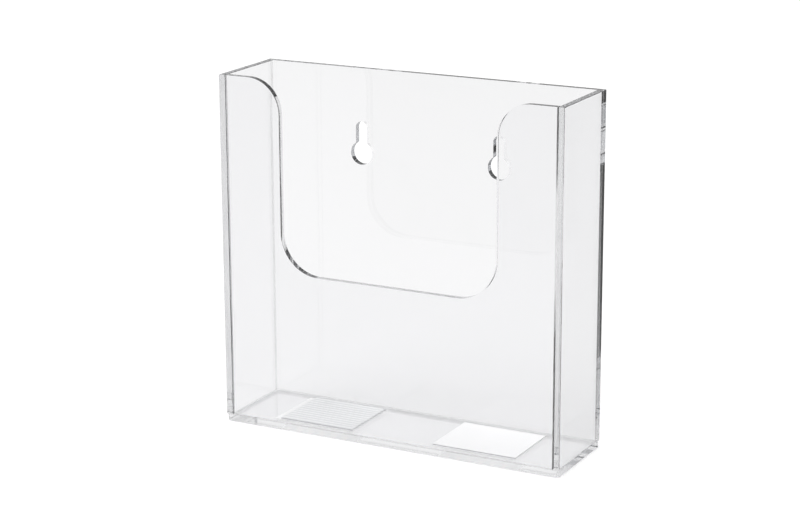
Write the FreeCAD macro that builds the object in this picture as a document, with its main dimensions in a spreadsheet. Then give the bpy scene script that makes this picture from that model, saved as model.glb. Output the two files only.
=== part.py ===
import FreeCAD, Part
import os
import Sketcher

# Clear leaflet holder: five plates of clear sheet cemented into a shallow open-topped
# box, with two self-adhesive tape pads stuck to its floor. Millimetres, +Z up.
# The origin is the middle of the underside. The front faces -Y and the wall side +Y.

DIMENSIONS = (
    ("overall_width", 160.0, "outside width, left to right"),
    ("overall_depth", 43.0, "outside depth, front to back"),
    ("overall_height", 155.0, "height of every wall above the surface it stands on"),
    ("base_thickness", 3.0, "sheet of the base plate"),
    ("front_thickness", 3.0, "sheet of the front panel"),
    ("back_thickness", 3.0, "sheet of the back panel"),
    ("side_thickness", 3.0, "sheet of both side panels"),
    ("cement_gap", 0.1, "thickness of every film of cement"),
    ("base_corner_radius", 2.0, "upright corners of the base plate"),
    ("base_edge_radius", 0.5, "lower rim of the base plate"),
    ("polish_radius", 0.3, "polished free edges of the walls"),
    ("front_arm_width", 26.15, "front panel left standing at each side of the finger cut-out"),
    ("cutout_height", 71.0, "bottom of the cut-out above the underside of the base"),
    ("cutout_top_radius", 15.0, "outward curves at the mouth of the cut-out"),
    ("cutout_bottom_radius", 18.0, "inward curves at the bottom of the cut-out"),
    ("cut_overrun", 5.0, "how far a cutting profile runs past the edge it opens"),
    ("keyhole_spacing", 66.0, "between the two keyholes"),
    ("keyhole_drop", 37.4, "from the top of the back panel to the head hole's centre"),
    ("keyhole_head_diameter", 10.4, "round hole that the screw head passes through"),
    ("keyhole_slot_width", 5.4, "slot that the screw shank slides up in"),
    ("keyhole_rise", 11.2, "from the head hole's centre to the slot end's centre"),
    ("pad_length", 39.0, "tape pad, left to right"),
    ("pad_clearance", 3.25, "floor left bare in front of and behind each tape pad"),
    ("pad_spacing", 77.5, "between the centres of the two tape pads"),
    ("pad_adhesive_thickness", 0.1, "adhesive film under each pad"),
    ("pad_foam_thickness", 0.5, "foam core of each pad"),
    ("pad_liner_thickness", 0.12, "release liner on each pad"),
    ("pad_film_margin", 3.2, "bare adhesive film beyond the foam at the left pad's left end"),
    ("rib_count", 12, "ribs pressed into the left pad's liner"),
    ("rib_height", 0.22, "how far a rib stands above its liner"),
    ("rib_width_share", 0.6, "part of the ribs' spacing that a rib fills"),
    ("left_tooth_count", 12, "teeth across each end of the left pad"),
    ("right_tooth_count", 24, "teeth across each end of the right pad"),
    ("left_tooth_depth", 0.8, "how deep the left pad's ends are pinked"),
    ("right_tooth_depth", 0.45, "how deep the right pad's ends are pinked"),
    ("tooth_tip", 0.12, "flat left on the point of each tooth"),
)

doc = FreeCAD.newDocument("leaflet_holder")
sheet = doc.addObject("Spreadsheet::Sheet", "Dimensions")
for row, (alias, value, meaning) in enumerate(DIMENSIONS, start=1):
    sheet.set(f"A{row}", meaning)
    sheet.set(f"B{row}", str(value))
    sheet.setAlias(f"B{row}", alias)
doc.recompute()


def size(alias):
    """Return a driving dimension as it stands in the sheet."""
    return float(getattr(sheet, alias))


def cell(alias):
    """Return a driving dimension as a term for an expression."""
    return "Dimensions." + alias


WIDTH = cell("overall_width")
DEPTH = cell("overall_depth")
HEIGHT = cell("overall_height")
BASE = cell("base_thickness")
FRONT = cell("front_thickness")
BACK = cell("back_thickness")
SIDE = cell("side_thickness")
GAP = cell("cement_gap")

# Every wall stands on the cement that lies on the base plate.
WALL_FOOT = f"{BASE} + {GAP}"
WALL_HEIGHT = f"{HEIGHT} - {BASE} - {GAP}"
FRONT_WIDTH = f"{WIDTH} - 2 * ({SIDE} + {GAP})"
SIDE_DEPTH = f"{DEPTH} - {BACK} - {GAP}"
FRONT_PLANE = f"({FRONT} - {DEPTH}) / 2"
BACK_PLANE = f"({DEPTH} - {BACK}) / 2"
SIDE_PLANE = f"({WIDTH} - {SIDE}) / 2"
SIDE_MIDDLE = f"-({BACK} + {GAP}) / 2"
CUTOUT_WIDTH = f"({FRONT_WIDTH} - 2 * {cell('front_arm_width')})"

# The pads lie midway between the front and back panels.
PAD_DEPTH = f"({DEPTH} - {FRONT} - {BACK} - 2 * {cell('pad_clearance')})"
PAD_MIDDLE = f"({FRONT} - {BACK}) / 2"

LEAST_CUT = 1e-4
EDGE_MATCH = 1e-3

parts = []


def wall_height():
    """Return how far a wall rises from its own foot."""
    return size("overall_height") - size("base_thickness") - size("cement_gap")


def side_front():
    """Return the front end of a side panel, from the panel's own middle."""
    return -(size("overall_depth") - size("back_thickness") - size("cement_gap")) / 2


def origin_item(body, role):
    """Return one of a body's own origin planes or axes."""
    return next(item for item in body.Origin.OriginFeatures if item.Role == role)


def new_body(name, x="0", y="0", z="0"):
    """Start a sub-part whose place follows the sheet, and list it for export."""
    body = doc.addObject("PartDesign::Body", name)
    body.Label = name
    for axis, expression in (("x", x), ("y", y), ("z", z)):
        body.setExpression(f"Placement.Base.{axis}", expression)
    parts.append(body)
    return body


def new_sketch(body, name, plane, right="0", up="0", out="0"):
    """Start a sketch on one of the body's planes, shifted within and off that plane."""
    sketch = body.newObject("Sketcher::SketchObject", name)
    sketch.AttachmentSupport = [(origin_item(body, plane), "")]
    sketch.MapMode = "FlatFace"
    for axis, expression in (("x", right), ("y", up), ("z", out)):
        sketch.setExpression(f"AttachmentOffset.Base.{axis}", expression)
    return sketch


def bind(sketch, constraint, name, expression):
    """Add a dimension to a sketch and tie it to the sheet."""
    index = sketch.addConstraint(constraint)
    sketch.renameConstraint(index, name)
    sketch.setExpression(f".Constraints.{name}", expression)


def close_loop(sketch, corners):
    """Draw straight lines from corner to corner and join them end to end.

    In every sketch the corners are rough, and the constraints set the true sizes.
    """
    count = len(corners)
    lines = []
    for index in range(count):
        start = FreeCAD.Vector(*corners[index], 0)
        end = FreeCAD.Vector(*corners[(index + 1) % count], 0)
        lines.append(sketch.addGeometry(Part.LineSegment(start, end)))
    for index in range(count):
        following = lines[(index + 1) % count]
        sketch.addConstraint(Sketcher.Constraint("Coincident", lines[index], 2, following, 1))
    return lines


def rectangle(sketch, width, height, centred):
    """Draw a rectangle round the sketch's origin, or standing on it."""
    lowest = -1.0 if centred else 0.0
    bottom, right, top, left = close_loop(
        sketch, ((-2.0, lowest), (2.0, lowest), (2.0, 1.0), (-2.0, 1.0)))
    for line in (bottom, top):
        sketch.addConstraint(Sketcher.Constraint("Horizontal", line))
    for line in (right, left):
        sketch.addConstraint(Sketcher.Constraint("Vertical", line))
    if centred:
        sketch.addConstraint(Sketcher.Constraint("Symmetric", bottom, 1, top, 1, -1, 1))
    else:
        sketch.addConstraint(Sketcher.Constraint("Symmetric", bottom, 1, bottom, 2, -1, 1))
    bind(sketch, Sketcher.Constraint("DistanceX", bottom, 1, bottom, 2, 4.0), "width", width)
    bind(sketch, Sketcher.Constraint("DistanceY", right, 1, right, 2, 1.0), "height", height)


def require_settled(sketch):
    """Stop if a sketch has any size or place that its constraints leave free."""
    doc.recompute()
    if not sketch.FullyConstrained:
        raise RuntimeError(f"{sketch.Label} isn't fully constrained")


def pad(body, sketch, name, thickness, midplane):
    """Raise a sketch into sheet of the given thickness."""
    require_settled(sketch)
    feature = body.newObject("PartDesign::Pad", name)
    feature.Profile = sketch
    feature.SideType = "Symmetric" if midplane else "One side"
    feature.setExpression("Length", thickness)
    doc.recompute()
    return feature


def pocket(body, sketch, name):
    """Cut a sketch right through the sheet, both ways from the sketch's plane."""
    require_settled(sketch)
    before = body.Shape.Volume
    feature = body.newObject("PartDesign::Pocket", name)
    feature.Profile = sketch
    feature.Type = "ThroughAll"
    feature.SideType = "Symmetric"
    doc.recompute()
    if not body.Shape.Volume < before - LEAST_CUT:
        raise RuntimeError(f"{name} in {body.Label} cuts nothing")
    return feature


def round_edges(body, name, radius, wanted):
    """Round the edges of the body's newest feature that the test picks."""
    base = body.Tip
    names = [f"Edge{number}" for number, edge in enumerate(base.Shape.Edges, start=1)
             if wanted(edge)]
    if not names:
        raise RuntimeError(f"{name} in {body.Label} finds no edge to round")
    feature = body.newObject("PartDesign::Fillet", name)
    feature.Base = (base, names)
    feature.setExpression("Radius", radius)
    doc.recompute()
    return feature


def lies_at(edge, axis, place):
    """Tell whether all of an edge has one coordinate."""
    box = edge.BoundBox
    lowest = getattr(box, axis + "Min")
    highest = getattr(box, axis + "Max")
    return abs(lowest - place) < EDGE_MATCH and abs(highest - place) < EDGE_MATCH


def sheet_edges(edge, across, half_thickness):
    """Tell whether an edge lies on either broad face of a sheet."""
    return lies_at(edge, across, half_thickness) or lies_at(edge, across, -half_thickness)


def make_base():
    """Make the plate that every wall stands on."""
    body = new_body("base_plate")
    outline = new_sketch(body, "base_outline", "XY_Plane")
    rectangle(outline, WIDTH, DEPTH, centred=True)
    pad(body, outline, "base_sheet", BASE, midplane=False)
    round_edges(body, "base_corners", cell("base_corner_radius"),
                lambda edge: edge.BoundBox.ZLength > size("base_thickness") / 2)
    round_edges(body, "base_rim", cell("base_edge_radius"),
                lambda edge: lies_at(edge, "Z", 0.0))


def make_front():
    """Make the front panel with its deep finger cut-out."""
    body = new_body("front_panel", y=FRONT_PLANE, z=WALL_FOOT)
    outline = new_sketch(body, "front_outline", "XZ_Plane")
    rectangle(outline, FRONT_WIDTH, WALL_HEIGHT, centred=False)
    pad(body, outline, "front_sheet", FRONT, midplane=True)
    cut_bottom = f"{cell('cutout_height')} - {BASE} - {GAP}"
    cut_rise = f"{HEIGHT} - {cell('cutout_height')} + {cell('cut_overrun')}"
    cut = new_sketch(body, "cutout_outline", "XZ_Plane", up=cut_bottom)
    rectangle(cut, CUTOUT_WIDTH, cut_rise, centred=False)
    pocket(body, cut, "finger_cutout")
    floor = size("cutout_height") - size("base_thickness") - size("cement_gap")
    half_width = size("overall_width") / 2 - size("side_thickness") - size("cement_gap")
    half_cut = half_width - size("front_arm_width")
    half_sheet = size("front_thickness") / 2

    def on_cut_corner(edge, level):
        sides = lies_at(edge, "X", half_cut) or lies_at(edge, "X", -half_cut)
        return sides and lies_at(edge, "Z", level)

    round_edges(body, "cutout_mouth", cell("cutout_top_radius"),
                lambda edge: on_cut_corner(edge, wall_height()))
    round_edges(body, "cutout_floor", cell("cutout_bottom_radius"),
                lambda edge: on_cut_corner(edge, floor))

    def is_free(edge):
        cemented = lies_at(edge, "Z", 0.0) or lies_at(edge, "X", half_width)
        cemented = cemented or lies_at(edge, "X", -half_width)
        return sheet_edges(edge, "Y", half_sheet) and not cemented

    round_edges(body, "front_polish", cell("polish_radius"), is_free)


def keyhole_slot(sketch):
    """Draw the slot from the head hole's centre up to its round end."""
    half = 1.0
    rise = 4.0
    corner = FreeCAD.Vector
    foot = sketch.addGeometry(Part.LineSegment(corner(-half, 0, 0), corner(half, 0, 0)))
    right = sketch.addGeometry(Part.LineSegment(corner(half, 0, 0), corner(half, rise, 0)))
    left = sketch.addGeometry(Part.LineSegment(corner(-half, rise, 0), corner(-half, 0, 0)))
    end = sketch.addGeometry(Part.Arc(
        corner(half, rise, 0), corner(0, rise + half, 0), corner(-half, rise, 0)))
    sketch.addConstraint(Sketcher.Constraint("Coincident", foot, 2, right, 1))
    sketch.addConstraint(Sketcher.Constraint("Coincident", left, 2, foot, 1))
    sketch.addConstraint(Sketcher.Constraint("Tangent", right, 2, end, 1))
    sketch.addConstraint(Sketcher.Constraint("Tangent", end, 2, left, 1))
    sketch.addConstraint(Sketcher.Constraint("Vertical", right))
    sketch.addConstraint(Sketcher.Constraint("Vertical", left))
    sketch.addConstraint(Sketcher.Constraint("Horizontal", foot))
    sketch.addConstraint(Sketcher.Constraint("Symmetric", foot, 1, foot, 2, -1, 1))
    bind(sketch, Sketcher.Constraint("DistanceX", foot, 1, foot, 2, 2 * half),
         "slot_width", cell("keyhole_slot_width"))
    bind(sketch, Sketcher.Constraint("DistanceY", right, 1, right, 2, rise),
         "slot_rise", cell("keyhole_rise"))


def make_back():
    """Make the full-width back panel with its pair of keyholes."""
    body = new_body("back_panel", y=BACK_PLANE, z=WALL_FOOT)
    outline = new_sketch(body, "back_outline", "XZ_Plane")
    rectangle(outline, WIDTH, WALL_HEIGHT, centred=False)
    pad(body, outline, "back_sheet", BACK, midplane=True)
    head_x = f"-{cell('keyhole_spacing')} / 2"
    head_z = f"{WALL_HEIGHT} - {cell('keyhole_drop')}"
    head = new_sketch(body, "head_outline", "XZ_Plane", right=head_x, up=head_z)
    circle = head.addGeometry(Part.Circle(FreeCAD.Vector(), FreeCAD.Vector(0, 0, 1), 2.0))
    head.addConstraint(Sketcher.Constraint("Coincident", circle, 3, -1, 1))
    bind(head, Sketcher.Constraint("Diameter", circle, 4.0), "head",
         cell("keyhole_head_diameter"))
    head_hole = pocket(body, head, "keyhole_head")
    slot = new_sketch(body, "slot_outline", "XZ_Plane", right=head_x, up=head_z)
    keyhole_slot(slot)
    slot_hole = pocket(body, slot, "keyhole_slot")
    one_side = body.Shape.Volume
    pair = body.newObject("PartDesign::Mirrored", "keyhole_pair")
    pair.Originals = [head_hole, slot_hole]
    pair.MirrorPlane = (origin_item(body, "YZ_Plane"), [""])
    body.Tip = pair
    doc.recompute()
    if not body.Shape.Volume < one_side - LEAST_CUT:
        raise RuntimeError("the second keyhole cuts nothing")
    top = wall_height()
    half_sheet = size("back_thickness") / 2
    half_width = size("overall_width") / 2

    def is_free(edge):
        on_top = sheet_edges(edge, "Y", half_sheet) and lies_at(edge, "Z", top)
        ends = lies_at(edge, "X", half_width) or lies_at(edge, "X", -half_width)
        return on_top or (ends and lies_at(edge, "Y", half_sheet))

    round_edges(body, "back_polish", cell("polish_radius"), is_free)


def make_side(name, sign):
    """Make one side panel; sign is -1 for the left and 1 for the right."""
    body = new_body(name, x=f"{sign} * ({SIDE_PLANE})", y=SIDE_MIDDLE, z=WALL_FOOT)
    outline = new_sketch(body, name + "_outline", "YZ_Plane")
    rectangle(outline, SIDE_DEPTH, WALL_HEIGHT, centred=False)
    pad(body, outline, name + "_sheet", SIDE, midplane=True)
    top = wall_height()
    half_sheet = size("side_thickness") / 2
    front = side_front()

    def is_free(edge):
        on_top = sheet_edges(edge, "X", half_sheet) and lies_at(edge, "Z", top)
        return on_top or (lies_at(edge, "X", sign * half_sheet) and lies_at(edge, "Y", front))

    round_edges(body, name + "_polish", cell("polish_radius"), is_free)


def make_cement_film(name, plane, spans, place, corners=None):
    """Make one flat film of cement, as long and wide as the joint that it fills.

    spans are the film's two sizes in its plane and place is its foot or centre. corners,
    if given, picks the upright edges that follow the base plate's rounded corners.
    """
    body = new_body(name, *place)
    outline = new_sketch(body, name + "_outline", plane)
    level = plane == "XY_Plane"
    rectangle(outline, *spans, centred=level)
    pad(body, outline, name + "_film", GAP, midplane=not level)
    if corners:
        round_edges(body, name + "_corner", cell("base_corner_radius"), corners)


def make_base_cement():
    """Make the films between the base plate and the foot of each wall."""
    make_cement_film("front_foot_cement", "XY_Plane", (FRONT_WIDTH, FRONT),
                     ("0", FRONT_PLANE, BASE))
    half_width = size("overall_width") / 2
    half_back = size("back_thickness") / 2

    def back_corner(edge):
        ends = lies_at(edge, "X", half_width) or lies_at(edge, "X", -half_width)
        return ends and lies_at(edge, "Y", half_back)

    make_cement_film("back_foot_cement", "XY_Plane", (WIDTH, BACK),
                     ("0", BACK_PLANE, BASE), back_corner)
    front_end = side_front()
    for name, sign in (("left_foot_cement", -1), ("right_foot_cement", 1)):
        outside = sign * size("side_thickness") / 2
        make_cement_film(
            name, "XY_Plane", (SIDE, SIDE_DEPTH),
            (f"{sign} * ({SIDE_PLANE})", SIDE_MIDDLE, BASE),
            lambda edge, face=outside: lies_at(edge, "X", face) and lies_at(edge, "Y", front_end))


def make_upright_cement():
    """Make the films in the four upright corner joints."""
    front_joint = f"({WIDTH} - {GAP}) / 2 - {SIDE}"
    back_joint = f"({DEPTH} - {GAP}) / 2 - {BACK}"
    for side, sign in (("left", -1), ("right", 1)):
        make_cement_film(f"front_{side}_cement", "YZ_Plane", (FRONT, WALL_HEIGHT),
                         (f"{sign} * ({front_joint})", FRONT_PLANE, WALL_FOOT))
        make_cement_film(f"back_{side}_cement", "XZ_Plane", (SIDE, WALL_HEIGHT),
                         (f"{sign} * ({SIDE_PLANE})", back_joint, WALL_FOOT))


def pink_ends(body, name, length, count, depth):
    """Notch both ends of a pad layer into a row of teeth."""
    pitch = f"{PAD_DEPTH} / {count}"
    first = f"({PAD_DEPTH} - {pitch}) / -2"
    notch = new_sketch(body, name + "_notch", "XY_Plane", up=first)
    for sign, side in ((-1, "left"), (1, "right")):
        mouth, inner, _ = close_loop(
            notch, ((sign * 4.0, -1.0), (sign * 4.0, 1.0), (sign * 3.0, 0.0)))
        notch.addConstraint(Sketcher.Constraint("PointOnObject", inner, 2, -1))
        notch.addConstraint(Sketcher.Constraint("Symmetric", mouth, 1, mouth, 2, -1))
        bind(notch, Sketcher.Constraint("DistanceY", mouth, 1, mouth, 2, 2.0),
             side + "_mouth", f"{pitch} - {cell('tooth_tip')}")
        ends = (mouth, 1) if sign > 0 else (-1, 1)
        starts = (-1, 1) if sign > 0 else (mouth, 1)
        bind(notch, Sketcher.Constraint("DistanceX", *starts, *ends, 4.0),
             side + "_reach", f"({length}) / 2")
        deep = (inner, 2)
        pair = (deep, (mouth, 1)) if sign > 0 else ((mouth, 1), deep)
        bind(notch, Sketcher.Constraint("DistanceX", *pair[0], *pair[1], 1.0),
             side + "_depth", depth)
    cut = pocket(body, notch, name + "_first_teeth")
    one = body.Shape.Volume
    row = body.newObject("PartDesign::LinearPattern", name + "_teeth")
    row.Originals = [cut]
    row.Direction = (origin_item(body, "Y_Axis"), [""])
    row.setExpression("Length", f"{PAD_DEPTH} - {pitch}")
    row.setExpression("Occurrences", count)
    body.Tip = row
    doc.recompute()
    if not body.Shape.Volume < one - LEAST_CUT:
        raise RuntimeError(f"{name} has no row of teeth")


def make_pad_layer(name, x, z, length, thickness, teeth):
    """Make one flat layer of a tape pad with pinked ends."""
    body = new_body(name, x, PAD_MIDDLE, z)
    outline = new_sketch(body, name + "_outline", "XY_Plane")
    rectangle(outline, length, PAD_DEPTH, centred=True)
    pad(body, outline, name + "_layer", thickness, midplane=False)
    pink_ends(body, name, length, *teeth)
    return body


def add_ribs(body, length):
    """Press a row of round-topped ribs into a liner, along its length."""
    pitch = f"{PAD_DEPTH} / {cell('rib_count')}"
    first = f"({PAD_DEPTH} - {pitch}) / -2"
    rib = new_sketch(body, "rib_outline", "YZ_Plane", right=first,
                     up=cell("pad_liner_thickness"))
    foot = rib.addGeometry(Part.LineSegment(FreeCAD.Vector(-1, 0, 0), FreeCAD.Vector(1, 0, 0)))
    crown = rib.addGeometry(Part.Arc(
        FreeCAD.Vector(1, 0, 0), FreeCAD.Vector(0, 0.3, 0), FreeCAD.Vector(-1, 0, 0)))
    rib.addConstraint(Sketcher.Constraint("Coincident", foot, 2, crown, 1))
    rib.addConstraint(Sketcher.Constraint("Coincident", crown, 2, foot, 1))
    rib.addConstraint(Sketcher.Constraint("Horizontal", foot))
    rib.addConstraint(Sketcher.Constraint("Symmetric", foot, 1, foot, 2, -1, 1))
    half = f"({pitch} * {cell('rib_width_share')} / 2)"
    rise = cell("rib_height")
    bind(rib, Sketcher.Constraint("DistanceX", foot, 1, foot, 2, 2.0), "rib_width", f"2 * {half}")
    bind(rib, Sketcher.Constraint("Radius", crown, 2.0), "rib_radius",
         f"({half} * {half} + {rise} * {rise}) / (2 * {rise})")
    one_rib = pad(body, rib, "liner_rib", f"{length} - 2 * {cell('left_tooth_depth')}",
                  midplane=True)
    single = body.Shape.Volume
    row = body.newObject("PartDesign::LinearPattern", "liner_ribs")
    row.Originals = [one_rib]
    row.Direction = (origin_item(body, "Y_Axis"), [""])
    row.setExpression("Length", f"{PAD_DEPTH} - {pitch}")
    row.setExpression("Occurrences", cell("rib_count"))
    body.Tip = row
    doc.recompute()
    if not body.Shape.Volume > single + LEAST_CUT:
        raise RuntimeError("the liner has only one rib")


def make_pads():
    """Make both tape pads, each an adhesive film, a foam core and a release liner."""
    length = cell("pad_length")
    margin = cell("pad_film_margin")
    centre = f"{cell('pad_spacing')} / 2"
    foam_z = f"{BASE} + {cell('pad_adhesive_thickness')}"
    liner_z = f"{foam_z} + {cell('pad_foam_thickness')}"
    left_teeth = (cell("left_tooth_count"), cell("left_tooth_depth"))
    right_teeth = (cell("right_tooth_count"), cell("right_tooth_depth"))
    short = f"({length} - {margin})"
    foam_x = f"{margin} / 2 - {centre}"
    make_pad_layer("left_pad_adhesive", f"-{centre}", BASE, length,
                   cell("pad_adhesive_thickness"), left_teeth)
    make_pad_layer("left_pad_foam", foam_x, foam_z, short,
                   cell("pad_foam_thickness"), left_teeth)
    liner = make_pad_layer("left_pad_liner", foam_x, liner_z, short,
                           cell("pad_liner_thickness"), left_teeth)
    add_ribs(liner, short)
    make_pad_layer("right_pad_adhesive", centre, BASE, length,
                   cell("pad_adhesive_thickness"), right_teeth)
    make_pad_layer("right_pad_foam", centre, foam_z, length,
                   cell("pad_foam_thickness"), right_teeth)
    make_pad_layer("right_pad_liner", centre, liner_z, length,
                   cell("pad_liner_thickness"), right_teeth)


def write_parts():
    """Stop if anything failed, then write each sub-part to its own file."""
    doc.recompute()
    for item in doc.Objects:
        if "Invalid" in item.State or "Error" in item.State:
            raise RuntimeError(f"{item.Label} did not compute: {item.State}")
    os.makedirs("parts", exist_ok=True)
    for body in parts:
        shape = body.Shape
        if shape.isNull() or not shape.isValid() or len(shape.Solids) != 1:
            raise RuntimeError(f"{body.Label} isn't one valid solid")
    for body in parts:
        body.Shape.exportStep(f"parts/{body.Label}.step")
        print(f"{body.Label}: {body.Shape.Volume:.2f} mm3")


make_base()
make_front()
make_back()
make_side("left_side_panel", -1)
make_side("right_side_panel", 1)
make_base_cement()
make_upright_cement()
make_pads()
write_parts()
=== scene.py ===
import logging
import math
from dataclasses import dataclass, field
from enum import Enum

import bmesh
import bpy
from mathutils import Matrix, Vector, noise


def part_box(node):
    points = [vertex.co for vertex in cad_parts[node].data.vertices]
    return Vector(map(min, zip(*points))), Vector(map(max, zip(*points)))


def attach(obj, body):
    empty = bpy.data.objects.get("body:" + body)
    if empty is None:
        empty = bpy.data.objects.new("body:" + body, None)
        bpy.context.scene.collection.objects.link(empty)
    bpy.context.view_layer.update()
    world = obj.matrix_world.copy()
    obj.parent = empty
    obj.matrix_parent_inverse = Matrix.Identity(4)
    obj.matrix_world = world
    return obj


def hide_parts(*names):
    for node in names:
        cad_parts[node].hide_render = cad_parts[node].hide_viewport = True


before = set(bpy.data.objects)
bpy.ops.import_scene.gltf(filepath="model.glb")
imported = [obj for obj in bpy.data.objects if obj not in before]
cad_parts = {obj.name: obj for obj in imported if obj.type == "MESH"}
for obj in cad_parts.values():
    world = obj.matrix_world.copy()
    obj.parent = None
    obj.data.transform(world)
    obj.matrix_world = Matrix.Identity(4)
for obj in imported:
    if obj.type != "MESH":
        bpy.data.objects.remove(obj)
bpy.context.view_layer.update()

MM = 0.001
MERGE_DISTANCE = 1e-6
FLAT_ANGLE = math.radians(0.5)
SHARP_ANGLE = math.radians(40.0)
JOINT_TOLERANCE = 0.02 * MM
ROOT_BODY = "root"
BOUNCES = 40
FACES_ALONG = 0.99
FACES_AWAY = 0.5
FUSED = "fused"
SAWN = "sawn"
RIB_RISE = 0.22 * MM
PANEL_RIM = 5.0 * MM

log = logging.getLogger("leaflet_holder")


class Socket:
    """A node's output socket that can be used in Python arithmetic."""

    def __init__(self, shader: "Shader", link: bpy.types.NodeSocket) -> None:
        """Keep the socket with the shader that its new Math nodes go in.

        Args:
            shader: The shader under construction.
            link: The output socket to wrap.
        """
        self.shader = shader
        self.link = link

    def _math(self, operation: str, *terms: "Socket | float", clamp: bool = False) -> "Socket":
        """Add one Math node.

        Args:
            operation: The Math node's operation.
            terms: Its inputs, in order.
            clamp: Whether the result is kept between 0 and 1.

        Returns:
            The node's result.
        """
        settings = {"operation": operation, "use_clamp": clamp}
        return self.shader.node("ShaderNodeMath", settings, dict(enumerate(terms)))

    def __add__(self, other: "Socket | float") -> "Socket":
        """Return self + other."""
        return self._math("ADD", self, other)

    __radd__ = __add__

    def __sub__(self, other: "Socket | float") -> "Socket":
        """Return self - other."""
        return self._math("SUBTRACT", self, other)

    def __rsub__(self, other: float) -> "Socket":
        """Return other - self."""
        return self._math("SUBTRACT", other, self)

    def __mul__(self, other: "Socket | float") -> "Socket":
        """Return self * other."""
        return self._math("MULTIPLY", self, other)

    __rmul__ = __mul__

    def __truediv__(self, other: "Socket | float") -> "Socket":
        """Return self / other."""
        return self._math("DIVIDE", self, other)

    def clamp(self) -> "Socket":
        """Return self kept between 0 and 1."""
        return self._math("ADD", self, 0.0, clamp=True)

    def larger(self, other: "Socket | float") -> "Socket":
        """Return the larger of self and other."""
        return self._math("MAXIMUM", self, other)

    def above(self, limit: float, width: float) -> "Socket":
        """Return a soft step from 0 to 1.

        Args:
            limit: Where the step starts.
            width: How far it takes to reach 1.

        Returns:
            The step, kept between 0 and 1.
        """
        return ((self - limit) / width).clamp()


class Shader:
    """Builds one material's or one world's node tree."""

    def __init__(self, tree: bpy.types.NodeTree) -> None:
        """Empty the tree.

        Args:
            tree: The node tree to fill.
        """
        self.tree = tree
        tree.nodes.clear()

    def node(self, kind: str, settings: dict[str, object] | None = None,
             inputs: dict[object, object] | None = None, output: int | str = 0) -> Socket:
        """Add a node of any kind.

        Args:
            kind: The node's type.
            settings: Properties set before its inputs.
            inputs: Values or sockets, by input name or number.
            output: The output that is handed back.

        Returns:
            The chosen output.
        """
        made = self.tree.nodes.new(kind)
        for name, value in (settings or {}).items():
            setattr(made, name, value)
        for name, value in (inputs or {}).items():
            if isinstance(value, Socket):
                self.tree.links.new(value.link, made.inputs[name])
            else:
                made.inputs[name].default_value = value
        if not made.outputs:
            return Socket(self, None)
        return Socket(self, made.outputs[output])

    def place(self, scale: tuple[float, float, float] = (1.0, 1.0, 1.0)) -> Socket:
        """Read the point on the object.

        Args:
            scale: How far the point is stretched along each axis.

        Returns:
            The point, in metres.
        """
        point = self.node("ShaderNodeTexCoord", output="Object")
        settings = {"vector_type": "POINT"}
        return self.node("ShaderNodeMapping", settings, {"Vector": point, "Scale": scale})

    def noise(self, point: Socket, scale: float, detail: float = 3.0,
              roughness: float = 0.55) -> Socket:
        """Return soft noise between 0 and 1.

        Args:
            point: Where it is read.
            scale: Blotches per metre.
            detail: How many finer layers are added.
            roughness: How strong the finer layers are.

        Returns:
            The noise value.
        """
        values = {"Vector": point, "Scale": scale, "Detail": detail, "Roughness": roughness}
        return self.node("ShaderNodeTexNoise", {"noise_dimensions": "3D"}, values)

    def mix_colour(self, share: Socket | float, first: object, second: object) -> Socket:
        """Return a colour between two colours.

        Args:
            share: 0 for the first colour and 1 for the second.
            first: The first colour.
            second: The second colour.

        Returns:
            The mixed colour.
        """
        settings = {"data_type": "RGBA", "blend_type": "MIX"}
        return self.node("ShaderNodeMix", settings, {0: share, 6: first, 7: second}, output=2)

    def bump(self, height: Socket, distance: float, strength: float) -> Socket:
        """Return normals that follow a height.

        Args:
            height: The height pattern, around 0 to 1.
            distance: How far 1 stands out, in metres.
            strength: How much of it shows.

        Returns:
            The normals.
        """
        values = {"Height": height, "Distance": distance, "Strength": strength}
        return self.node("ShaderNodeBump", {}, values)

    def finish(self, surface: Socket, volume: Socket | None = None) -> None:
        """Join the shader to the tree's output.

        Args:
            surface: The surface shader.
            volume: The volume shader, if there is one.
        """
        inputs = {"Surface": surface}
        if volume:
            inputs["Volume"] = volume
        self.node("ShaderNodeOutputMaterial", {}, inputs)


def rgb(red: float, green: float, blue: float) -> tuple[float, float, float, float]:
    """Return an opaque colour.

    Args:
        red: The red share, from 0 to 1.
        green: The green share.
        blue: The blue share.

    Returns:
        The colour with full alpha.
    """
    return (red, green, blue, 1.0)


@dataclass(frozen=True)
class Finish:
    """A finish that becomes one material."""

    name: str

    def material(self) -> bpy.types.Material:
        """Return the finish as a Blender material."""
        made = bpy.data.materials.new(self.name)
        made.use_nodes = True
        self.fill(Shader(made.node_tree))
        return made

    def fill(self, shader: Shader) -> None:
        """Add the finish's nodes to an empty shader."""
        raise NotImplementedError


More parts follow.
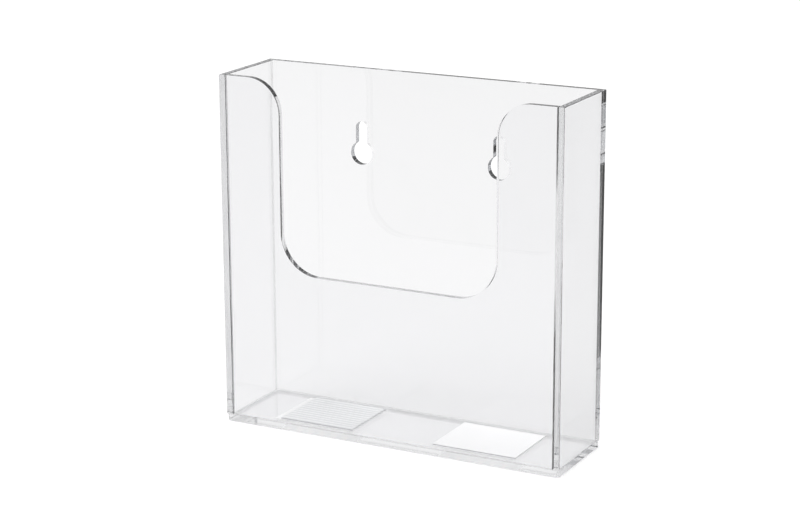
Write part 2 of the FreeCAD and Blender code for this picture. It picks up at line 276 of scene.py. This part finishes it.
@dataclass(frozen=True)
class ClearSheet(Finish):
    """Clear polished acrylic sheet, a little grey through its thickness.

    Light passes straight through the faces that cement has fused to another plate.
    """

    refraction: float = 1.49
    absorbed: tuple[float, float, float] = (0.640, 0.645, 0.665)
    density: float = 6.5
    tint: tuple[float, float, float] = (0.978, 0.978, 0.984)
    smudged_tint: tuple[float, float, float] = (0.955, 0.96, 0.96)
    sawn_tint: tuple[float, float, float] = (0.42, 0.43, 0.45)
    joined_tint: tuple[float, float, float] = (0.98, 0.98, 0.98)
    smudge_scale: float = 38.0
    smudge_roughness: float = 0.015
    scratch_scale: float = 900.0
    scratch_roughness: float = 0.05
    sawn_roughness: float = 0.06
    polish_roughness: float = 0.004
    wave_scale: float = 22.0
    wave_height: float = 4e-6

    def fill(self, shader: Shader) -> None:
        """Add faint smudges, hairline scratches and the gentle waves of cast sheet."""
        point = shader.place()
        smudges = shader.noise(point, self.smudge_scale, 4.0).above(0.56, 0.2)
        along = shader.place((0.06, 1.0, 1.0))
        across = shader.place((1.0, 1.0, 0.05))
        hair = shader.noise(along, self.scratch_scale, 2.0).above(0.70, 0.03)
        hair = hair.larger(shader.noise(across, self.scratch_scale, 2.0).above(0.71, 0.03))
        sawn = shader.node("ShaderNodeAttribute", {"attribute_name": SAWN}, output="Fac")
        roughness = smudges * self.smudge_roughness + hair * self.scratch_roughness
        roughness = roughness + sawn * self.sawn_roughness + self.polish_roughness
        colour = shader.mix_colour(smudges * 0.5, rgb(*self.tint), rgb(*self.smudged_tint))
        colour = shader.mix_colour(sawn, colour, rgb(*self.sawn_tint))
        waves = shader.noise(point, self.wave_scale, 1.0)
        normal = shader.bump(waves, self.wave_height, 1.0)
        clear = shader.node("ShaderNodeBsdfPrincipled", {}, {
            "Base Color": colour, "Roughness": roughness, "IOR": self.refraction,
            "Transmission Weight": 1.0, "Normal": normal})
        joined = shader.node("ShaderNodeBsdfTransparent", {}, {"Color": rgb(*self.joined_tint)})
        fused = shader.node("ShaderNodeAttribute", {"attribute_name": FUSED}, output="Fac")
        surface = shader.node("ShaderNodeMixShader", {}, {0: fused, 1: clear, 2: joined})
        volume = shader.node("ShaderNodeVolumeAbsorption", {}, {
            "Color": rgb(*self.absorbed), "Density": self.density})
        shader.finish(surface, volume)


@dataclass(frozen=True)
class CementFilm(Finish):
    """A dried film of solvent cement, hazy and uneven; made near-black, it is a sheet of painted shade
    along a joint.
    """

    # The film's colour: a faint grey haze in the back and foot joints, near-black painted shade in the
    # front corners.
    haze_and_painted_shade: tuple[float, float, float] = (0.10, 0.10, 0.105)
    bubble: tuple[float, float, float] = (0.7, 0.72, 0.73)
    refraction: float = 1.49
    cover: float = 0.75
    painted_shade_at_ends: bool = False
    lower_end: float = 50.0 * MM
    upper_end: float = 118.0 * MM
    fade_from: float | None = None
    streak_scale: float = 420.0
    bubble_scale: float = 2600.0
    streak_height: float = 0.04 * MM

    def fill(self, shader: Shader) -> None:
        """Add streaks, small bubbles and thin patches; where asked, keep a dark film's painted shade to its
        top and bottom ends, and fade it out with depth.
        """
        streaks = shader.noise(shader.place((1.0, 1.0, 0.15)), self.streak_scale, 3.0)
        bubbles = shader.noise(shader.place(), self.bubble_scale, 1.0).above(0.66, 0.08)
        cover = (streaks.above(0.35, 0.3) * 0.5 + 0.5) * self.cover
        # Painted shade: the dark film is cleared in its middle and stays dark towards its top and bottom
        # ends.
        if self.painted_shade_at_ends:
            height = shader.node("ShaderNodeSeparateXYZ", {}, {"Vector": shader.place()}, "Z")
            painted_shade_ends = height.above(self.upper_end, 0.02) + (1 - height.above(self.lower_end, 0.03))
            cover = cover * (painted_shade_ends * 0.85 + 0.15)
        # Painted shade: the dark film fades out behind the given depth.
        if self.fade_from is not None:
            depth = shader.node("ShaderNodeSeparateXYZ", {}, {"Vector": shader.place()}, "Y")
            cover = cover * (1 - depth.above(self.fade_from, 0.4 * MM) * 0.9)
        colour = shader.mix_colour(bubbles, rgb(*self.haze_and_painted_shade), rgb(*self.bubble))
        surface = shader.node("ShaderNodeBsdfPrincipled", {}, {
            "Base Color": colour, "Roughness": streaks * 0.3 + 0.2, "IOR": self.refraction,
            "Alpha": cover * (1 - bubbles * 0.6),
            "Normal": shader.bump(streaks, self.streak_height, 0.5)})
        shader.finish(surface)


@dataclass(frozen=True)
class SoftTape(Finish):
    """Tape stock: foam, adhesive or paper, told apart by colour, grain and sheen."""

    bright: tuple[float, float, float] = (0.93, 0.93, 0.925)
    dull: tuple[float, float, float] = (0.86, 0.86, 0.85)
    grain_scale: float = 1800.0
    grain_height: float = 0.03 * MM
    blotch_scale: float = 90.0
    roughness: float = 0.55

    def fill(self, shader: Shader) -> None:
        """Add cell or fibre grain and faint blotches."""
        point = shader.place()
        grain = shader.noise(point, self.grain_scale, 3.0, 0.65)
        blotch = shader.noise(point, self.blotch_scale, 2.0)
        colour = shader.mix_colour(
            (grain.above(0.3, 0.5) * 0.5 + blotch.above(0.35, 0.4) * 0.5).clamp(),
            rgb(*self.dull), rgb(*self.bright))
        surface = shader.node("ShaderNodeBsdfPrincipled", {}, {
            "Base Color": colour, "Roughness": blotch * 0.15 + self.roughness,
            "Specular IOR Level": 0.4,
            "Normal": shader.bump(grain, self.grain_height, 0.6)})
        shader.finish(surface)


@dataclass(frozen=True)
class RibbedFilm(Finish):
    """Satin release film with pressed ribs and rows of fine dots, with painted light on the ribs' crests
    and painted shade in their valleys.
    """

    # Painted light on the ribs' crests and painted shade in their valleys.
    crest_painted_light: tuple[float, float, float] = (0.97, 0.975, 0.98)
    valley_painted_shade: tuple[float, float, float] = (0.72, 0.73, 0.74)
    dots_per_metre: float = 1150.0
    valley_level: float = 0.0
    rise: float = RIB_RISE
    dot_height: float = 0.06 * MM
    worn_scale: float = 130.0

    def fill(self, shader: Shader) -> None:
        """Paint light on the ribs' crests and shade in their valleys, by height, and add dots and worn
        patches.
        """
        point = shader.place()
        height = shader.node("ShaderNodeSeparateXYZ", {}, {"Vector": point}, "Z")
        # Painted light and shade: lighter with height, from the valleys up to the crests.
        crest_painted_light = height.above(self.valley_level, self.rise)
        dots = shader.node("ShaderNodeTexVoronoi", {"feature": "F1"}, {
            "Vector": point, "Scale": self.dots_per_metre, "Randomness": 0.35}, "Distance")
        worn = shader.noise(point, self.worn_scale, 3.0).above(0.35, 0.35)
        dot = 1 - dots.above(0.18, 0.3)
        share = (crest_painted_light * 0.8 + worn * 0.12 + dot * 0.08).clamp()
        surface = shader.node("ShaderNodeBsdfPrincipled", {}, {
            "Base Color": shader.mix_colour(share, rgb(*self.valley_painted_shade), rgb(*self.crest_painted_light)),
            "Roughness": worn * 0.12 + 0.28, "Specular IOR Level": 0.5,
            "Normal": shader.bump(dot, self.dot_height, 0.7)})
        shader.finish(surface)


@dataclass(frozen=True)
class PaleFloor(Finish):
    """A plain white studio floor that keeps the object's soft shadow."""

    white: float = 0.50
    glow_to_eye: float = 0.58
    glow_through: float = 0.42
    glow_beneath: float = 0.45
    tooth_scale: float = 500.0
    tooth_shade: float = 0.985

    def fill(self, shader: Shader) -> None:
        """Add a faint tooth to the floor and lift it to white where it is seen."""
        tooth = shader.noise(shader.place(), self.tooth_scale, 2.0)
        dull = self.white * self.tooth_shade
        grey = shader.mix_colour(tooth, rgb(*(self.white,) * 3), rgb(*(dull,) * 3))
        matte = shader.node("ShaderNodeBsdfDiffuse", {}, {"Color": grey, "Roughness": 0.3})
        path = "ShaderNodeLightPath"
        to_eye = shader.node(path, output="Is Camera Ray")
        through = shader.node(path, output="Is Transmission Ray")
        onto_floor = shader.node(path, output="Diffuse Depth").clamp()
        onto_floor = onto_floor * self.glow_beneath + self.glow_through
        glow = shader.node("ShaderNodeEmission", {}, {
            "Color": rgb(1.0, 1.0, 1.0),
            "Strength": to_eye * self.glow_to_eye + through * onto_floor})
        shader.finish(shader.node("ShaderNodeAddShader", {}, {0: matte, 1: glow}))


class Axis(Enum):
    """The direction that a thin piece is thin along."""

    X = 0
    Y = 1
    Z = 2


def publish(name: str, shape: bmesh.types.BMesh, finish: bpy.types.Material, node: str) -> bpy.types.Object:
    """Turn a bmesh into a piece that rides with the frame and stands for a CAD node.

    Args:
        name: The piece's name.
        shape: The finished shape, which is freed.
        finish: Its material.
        node: The CAD node that it replaces.

    Returns:
        The piece's object.
    """
    mesh = bpy.data.meshes.new(name)
    bmesh.ops.recalc_face_normals(shape, faces=shape.faces)
    shape.to_mesh(mesh)
    shape.free()
    mesh.materials.append(finish)
    piece = bpy.data.objects.new(name, mesh)
    bpy.context.scene.collection.objects.link(piece)
    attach(piece, ROOT_BODY)
    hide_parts(node)
    log.info("%s stands for %s", name, node)
    return piece


def copy_of(node: str) -> bmesh.types.BMesh:
    """Return a CAD node's shape with its seams closed and its flat faces whole.

    Args:
        node: The node's name.

    Returns:
        The copy.
    """
    shape = bmesh.new()
    shape.from_mesh(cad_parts[node].data)
    bmesh.ops.remove_doubles(shape, verts=shape.verts, dist=MERGE_DISTANCE)
    bmesh.ops.dissolve_limit(shape, angle_limit=FLAT_ANGLE, verts=shape.verts,
                             edges=shape.edges)
    return shape


def soften(shape: bmesh.types.BMesh) -> None:
    """Shade rounded stretches smooth and keep real corners sharp.

    Args:
        shape: The shape.
    """
    for face in shape.faces:
        face.smooth = True
    for edge in shape.edges:
        edge.smooth = edge.calc_face_angle(math.pi) < SHARP_ANGLE


@dataclass(frozen=True)
class Joint:
    """The place of one film of cement between two plates."""

    film: str

    @property
    def box(self) -> tuple[Vector, Vector]:
        """The film's lowest and highest corners."""
        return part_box(self.film)

    @property
    def thin(self) -> Axis:
        """The axis across the film."""
        low, high = self.box
        spans = high - low
        return min(Axis, key=lambda axis: spans[axis.value])

    def holds(self, point: Vector) -> bool:
        """Tell whether a point lies on the film, to within the joint's tolerance.

        Args:
            point: The point.

        Returns:
            Whether it does.
        """
        low, high = self.box
        return all(low[i] - JOINT_TOLERANCE < point[i] < high[i] + JOINT_TOLERANCE
                   for i in range(3))

    def score(self, shape: bmesh.types.BMesh) -> None:
        """Cut edges into a plate where the film's outline crosses it.

        Args:
            shape: The plate.
        """
        for axis in Axis:
            if axis is self.thin:
                continue
            places = [vert.co[axis.value] for vert in shape.verts]
            for bound in self.box:
                level = bound[axis.value]
                if min(places) + JOINT_TOLERANCE < level < max(places) - JOINT_TOLERANCE:
                    facing = Vector((0.0, 0.0, 0.0))
                    facing[axis.value] = 1.0
                    everything = [*shape.verts, *shape.edges, *shape.faces]
                    bmesh.ops.bisect_plane(shape, geom=everything, dist=MERGE_DISTANCE,
                                           plane_co=facing * level, plane_no=facing)


JOINTS = tuple(Joint(name) for name in (
    "front_foot_cement", "back_foot_cement", "left_foot_cement", "right_foot_cement",
    "front_left_cement", "front_right_cement", "back_left_cement", "back_right_cement"))


@dataclass
class ClearBox:
    """The five plates of clear sheet, fused where the cement lies."""

    plates: tuple[str, ...] = ("base_plate", "back_panel", "front_panel", "left_side_panel",
                               "right_side_panel")
    sheet: ClearSheet = field(default_factory=lambda: ClearSheet("clear_acrylic"))

    def build(self) -> None:
        """Make every plate."""
        finish = self.sheet.material()
        for plate in self.plates:
            self._plate(plate, finish)

    def _plate(self, node: str, finish: bpy.types.Material) -> None:
        """Make one plate from its CAD shape and mark its cemented faces.

        Args:
            node: The CAD plate.
            finish: The clear finish.
        """
        low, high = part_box(node)
        shape = copy_of(node)
        touching = [joint for joint in JOINTS if self._meets(joint, low, high)]
        for joint in touching:
            joint.score(shape)
        fused = shape.faces.layers.float.new(FUSED)
        sawn = shape.faces.layers.float.new(SAWN)
        for face in shape.faces:
            middle = face.calc_center_median()
            if node == "back_panel" and self._in_keyhole(face, middle, low, high):
                face[sawn] = 1.0
            for joint in touching:
                across = abs(face.normal[joint.thin.value]) > FACES_ALONG
                if across and joint.holds(middle):
                    face[fused] = 1.0
        soften(shape)
        piece = publish(node + "_sheet", shape, finish, node)
        normals = piece.modifiers.new("flat_normals", "WEIGHTED_NORMAL")
        normals.keep_sharp = True

    @staticmethod
    def _in_keyhole(face: bmesh.types.BMFace, middle: Vector, low: Vector,
                    high: Vector) -> bool:
        """Tell whether a face of the back panel is the sawn wall of a keyhole.

        Args:
            face: The face.
            middle: The face's middle.
            low: The panel's lowest corner.
            high: The panel's highest corner.

        Returns:
            Whether it is.
        """
        inside = low.x + PANEL_RIM < middle.x < high.x - PANEL_RIM
        inside = inside and low.z + PANEL_RIM < middle.z < high.z - PANEL_RIM
        return inside and abs(face.normal.y) < FACES_AWAY

    @staticmethod
    def _meets(joint: Joint, low: Vector, high: Vector) -> bool:
        """Tell whether a joint's film touches a plate's box.

        Args:
            joint: The joint.
            low: The plate's lowest corner.
            high: The plate's highest corner.

        Returns:
            Whether it does.
        """
        film_low, film_high = joint.box
        return all(film_low[i] < high[i] + JOINT_TOLERANCE
                   and film_high[i] > low[i] - JOINT_TOLERANCE for i in range(3))


@dataclass
class CementJoints:
    """The films of cement in the joints; the two front corner films are near-black sheets of painted shade
    that draw dark lines down those joints.
    """

    shrink: float = 0.01 * MM
    wander: float = 0.25 * MM
    waves_per_metre: float = 260.0
    cuts: int = 90
    # Painted shade: the front corner films are near-black and nearly opaque, drawing the dark lines down
    # the front corners.
    front_left: CementFilm = field(default_factory=lambda: CementFilm(
        "front_left_cement", haze_and_painted_shade=(0.04, 0.04, 0.045), cover=0.95,
        fade_from=Joint("front_left_cement").box[0].y + 1.1 * MM))
    front_right: CementFilm = field(default_factory=lambda: CementFilm(
        "front_right_cement", haze_and_painted_shade=(0.03, 0.03, 0.035), cover=0.95, painted_shade_at_ends=True))
    back: CementFilm = field(default_factory=lambda: CementFilm(
        "back_cement", haze_and_painted_shade=(0.30, 0.31, 0.32), cover=0.10))
    foot: CementFilm = field(default_factory=lambda: CementFilm(
        "foot_cement", haze_and_painted_shade=(0.45, 0.46, 0.47), cover=0.12))

    def build(self) -> None:
        """Make every film a little thinner than its gap, with a wandering edge."""
        finishes = {
            "front_left_cement": self.front_left.material(),
            "front_right_cement": self.front_right.material()}
        back = self.back.material()
        foot = self.foot.material()
        for joint in JOINTS:
            other = foot if joint.thin is Axis.Z else back
            self._film(joint, finishes.get(joint.film, other))

    def _film(self, joint: Joint, material: bpy.types.Material) -> None:
        """Make one film.

        Args:
            joint: Where it lies.
            material: Its finish.
        """
        low, high = joint.box
        inset = Vector((self.shrink,) * 3)
        low, high = low + inset, high - inset
        middle, spans = (low + high) / 2, high - low
        shape = bmesh.new()
        bmesh.ops.create_cube(shape, size=1.0)
        bmesh.ops.scale(shape, vec=spans, verts=shape.verts)
        long_axis = max(Axis, key=lambda axis: spans[axis.value]).value
        side_axis = 3 - long_axis - joint.thin.value
        lengthwise = [edge for edge in shape.edges
                      if abs((edge.verts[0].co - edge.verts[1].co)[long_axis]) > MM]
        bmesh.ops.subdivide_edges(shape, edges=lengthwise, cuts=self.cuts, use_grid_fill=True)
        for vert in shape.verts:
            along = (vert.co[long_axis] + middle[long_axis]) * self.waves_per_metre
            side = math.copysign(1.0, vert.co[side_axis])
            drift = noise.noise(Vector((along, side * 3.0, middle.x * 50 + middle.y * 70)))
            vert.co[side_axis] -= side * (0.5 + 0.5 * drift) * self.wander
        bmesh.ops.translate(shape, vec=middle, verts=shape.verts)
        publish(joint.film + "_film", shape, material, joint.film)


@dataclass
class TapePad:
    """One self-adhesive pad on the floor: adhesive film, foam core and liner."""

    side: str
    liner_slot: str
    sink: float = 0.02 * MM

    def build(self, finishes: dict[str, bpy.types.Material]) -> None:
        """Make the pad's three layers.

        Args:
            finishes: The materials, by the record's slot.
        """
        for layer, slot in (("adhesive", "tape_adhesive"), ("foam", "tape_foam"),
                            ("liner", self.liner_slot)):
            node = f"{self.side}_pad_{layer}"
            shape = copy_of(node)
            if layer == "adhesive":
                self._wet_out(shape)
            soften(shape)
            publish(node + "_layer", shape, finishes[slot], node)

    def _wet_out(self, shape: bmesh.types.BMesh) -> None:
        """Press the adhesive's underside into the plate, so that no air lies between.

        Args:
            shape: The adhesive film.
        """
        floor = min(vert.co.z for vert in shape.verts)
        under = [vert for vert in shape.verts if vert.co.z < floor + self.sink]
        bmesh.ops.translate(shape, vec=(0.0, 0.0, -self.sink), verts=under)


@dataclass
class Studio:
    """The floor, light and camera round the holder."""

    floor_size: float = 6.0
    floor_gap: float = 0.25 * MM
    eye: tuple[float, float, float] = (0.43463, -0.83374, 0.33292)
    heading: float = 27.78
    downward: float = 15.32
    roll: float = -0.22
    lens: float = 102.97
    ceiling_shade: float = 0.6
    mirrored_room: float = 0.7
    room_light: float = 0.95
    lamp_through: float = 0.15
    ceiling_from: float = 0.35
    ceiling_width: float = 0.5
    ceiling_dimming: float = 0.1
    lamp_size: tuple[float, float] = (1.2, 0.9)
    lamp_power: float = 6.0
    lamp_place: tuple[float, float, float] = (-0.5, -0.6, 1.3)
    lamp_aim: tuple[float, float, float] = (0.0, 0.0, 0.05)

    def build(self) -> None:
        """Make the studio."""
        self._world()
        self._floor()
        self._lamps()
        self._camera()
        scene = bpy.context.scene
        scene.view_settings.view_transform = "Standard"
        scene.cycles.blur_glossy = 0.0
        scene.cycles.max_bounces = BOUNCES
        scene.cycles.transmission_bounces = BOUNCES
        scene.cycles.glossy_bounces = BOUNCES
        scene.cycles.transparent_max_bounces = BOUNCES
        log.info("studio ready")

    def _world(self) -> None:
        """Light the room evenly, white to the eye and through the clear sheet."""
        world = bpy.data.worlds.new("studio_light")
        world.use_nodes = True
        bpy.context.scene.world = world
        shader = Shader(world.node_tree)
        path = "ShaderNodeLightPath"
        to_eye = shader.node(path, output="Is Camera Ray")
        through = shader.node(path, output="Is Transmission Ray")
        mirrored = shader.node(path, output="Is Glossy Ray") * (1 - through)
        direction = shader.node("ShaderNodeTexCoord", output="Generated")
        height = shader.node("ShaderNodeSeparateXYZ", {}, {"Vector": direction}, "Z")
        ceiling = height.above(self.ceiling_from, self.ceiling_width)
        seen = to_eye + through * (1 - ceiling * self.ceiling_shade)
        seen = seen + mirrored * (self.mirrored_room - ceiling * self.ceiling_dimming)
        lighting = shader.node(path, output="Diffuse Depth").clamp()
        lighting = lighting.larger(1 - (to_eye + through + mirrored).clamp())
        through_light = through * self.lamp_through + self.room_light
        strength = seen * (1 - lighting) + lighting * through_light
        light = shader.node("ShaderNodeBackground", {}, {
            "Color": rgb(1.0, 1.0, 1.0), "Strength": strength})
        shader.node("ShaderNodeOutputWorld", {}, {"Surface": light})

    def _floor(self) -> None:
        """Lay the floor just under the base plate."""
        shape = bmesh.new()
        bmesh.ops.create_grid(shape, x_segments=1, y_segments=1, size=self.floor_size / 2)
        bmesh.ops.translate(shape, vec=(0.0, 0.0, -self.floor_gap), verts=shape.verts)
        mesh = bpy.data.meshes.new("floor")
        shape.to_mesh(mesh)
        shape.free()
        mesh.materials.append(PaleFloor("pale_floor").material())
        floor = bpy.data.objects.new("floor", mesh)
        bpy.context.scene.collection.objects.link(floor)

    def _lamps(self) -> None:
        """Hang one wide soft lamp overhead."""
        lamp = bpy.data.lights.new("overhead", "AREA")
        lamp.shape = "RECTANGLE"
        lamp.size, lamp.size_y = self.lamp_size
        lamp.energy = self.lamp_power
        holder = bpy.data.objects.new("overhead", lamp)
        holder.location = self.lamp_place
        holder.rotation_mode = "QUATERNION"
        aim = Vector(self.lamp_aim) - Vector(self.lamp_place)
        holder.rotation_quaternion = aim.to_track_quat("-Z", "Y")
        holder.visible_glossy = False
        holder.visible_transmission = False
        bpy.context.scene.collection.objects.link(holder)

    def _camera(self) -> None:
        """Place the camera a little above the holder, to its right."""
        data = bpy.data.cameras.new("view")
        data.lens = self.lens
        camera = bpy.data.objects.new("view", data)
        turn = Matrix.Rotation(math.radians(self.heading), 4, "Z")
        tilt = Matrix.Rotation(math.radians(90.0 - self.downward), 4, "X")
        twist = Matrix.Rotation(math.radians(self.roll), 4, "Z")
        camera.matrix_world = Matrix.Translation(self.eye) @ turn @ tilt @ twist
        bpy.context.scene.collection.objects.link(camera)
        bpy.context.scene.camera = camera


def main() -> None:
    """Dress the frame and build the studio round it."""
    logging.basicConfig(level=logging.INFO)
    Studio().build()
    ClearBox().build()
    CementJoints().build()
    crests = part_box("left_pad_liner")[1].z
    tape = {
        "tape_adhesive": SoftTape("tape_adhesive", (0.97, 0.97, 0.97), (0.94, 0.94, 0.94),
                                  grain_scale=900.0).material(),
        # The foam is grey, darker than the adhesive and the liners, so the pads' cut zigzag sides show as
        # dark lines.
        "tape_foam": SoftTape("tape_foam", (0.50, 0.50, 0.51), (0.38, 0.38, 0.39)).material(),
        "plain_liner": SoftTape("plain_liner", (0.98, 0.98, 0.98), (0.95, 0.95, 0.95),
                                grain_scale=3000.0, roughness=0.4).material(),
        "ribbed_liner": RibbedFilm("ribbed_liner", valley_level=crests - RIB_RISE).material(),
    }
    TapePad("left", "ribbed_liner").build(tape)
    TapePad("right", "plain_liner").build(tape)


if __name__ == "__main__":
    main()
